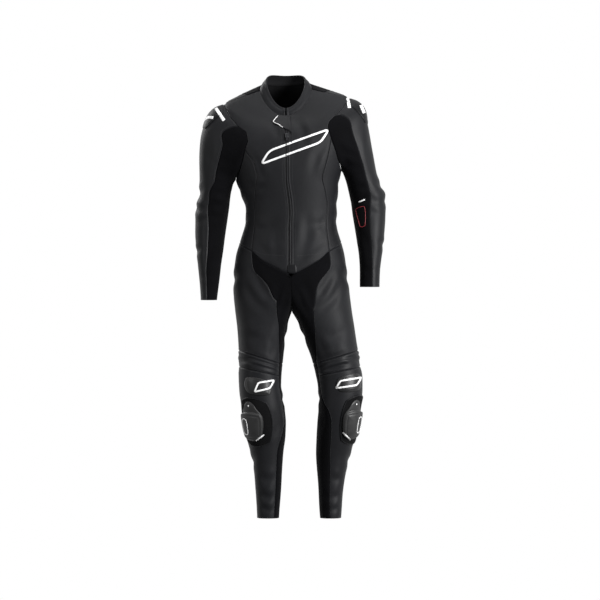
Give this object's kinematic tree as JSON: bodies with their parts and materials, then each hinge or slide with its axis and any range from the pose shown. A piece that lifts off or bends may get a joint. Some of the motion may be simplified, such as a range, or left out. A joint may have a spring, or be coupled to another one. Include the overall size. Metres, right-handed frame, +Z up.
{
  "type": "motorcycle race suit",
  "caption": "One-piece leather race suit, hollow as worn, with stretch panels, shoulder protectors, knee sliders and a front zip with a hinged pull.",
  "frame": {"origin": "base of the neck, midway between the shoulders, inside the hollow", "axes": "+Z up to the collar, the front faces -Y, +X to the wearer's left"},
  "size_m": [0.6269, 0.2613, 1.4608],
  "materials": {
    "leather": "perforated charcoal",
    "stretch": "matt black knit",
    "hard": "satin black",
    "light": "white print",
    "red": "dark red",
    "metal": "satin"
  },
  "bodies": {
    "suit": {"front_panel_left": "leather", "side_panel_left": "leather", "sleeve_leather_left": "leather", "sleeve_stretch_left": "stretch", "inner_thigh_stretch_left": "stretch", "thigh_front_left": "leather", "thigh_back_left": "leather", "shin_front_left": "leather", "knee_accordion_left": "leather", "calf_stretch_left": "stretch", "knee_cup_left": "hard", "slider_base_left": "stretch", "knee_slider_left": "hard", "shoulder_protector_left": "hard", "front_panel_right": "leather", "side_panel_right": "leather", "sleeve_leather_right": "leather", "sleeve_stretch_right": "stretch", "inner_thigh_stretch_right": "stretch", "thigh_front_right": "leather", "thigh_back_right": "leather", "shin_front_right": "leather", "knee_accordion_right": "leather", "calf_stretch_right": "stretch", "knee_cup_right": "hard", "slider_base_right": "stretch", "knee_slider_right": "hard", "shoulder_protector_right": "hard", "back_panel": "leather", "back_yoke": "stretch", "zip_placket": "stretch", "collar": "leather", "throat_flap": "leather", "flap_piping": "light", "zip_end_tab": "leather", "forearm_patch": "red", "forearm_bar": "light", "zip_slider": "metal"},
    "pull_tab": {"zip_pull": "metal"}
  },
  "joints": [
    {"name": "pull_hinge", "type": "hinge", "parent": "suit", "child": "pull_tab", "pos_m": [-0.00663, -0.11468, -0.12813], "axis": [-1, 0, 0], "range_deg": [0, 150]}
  ]
}
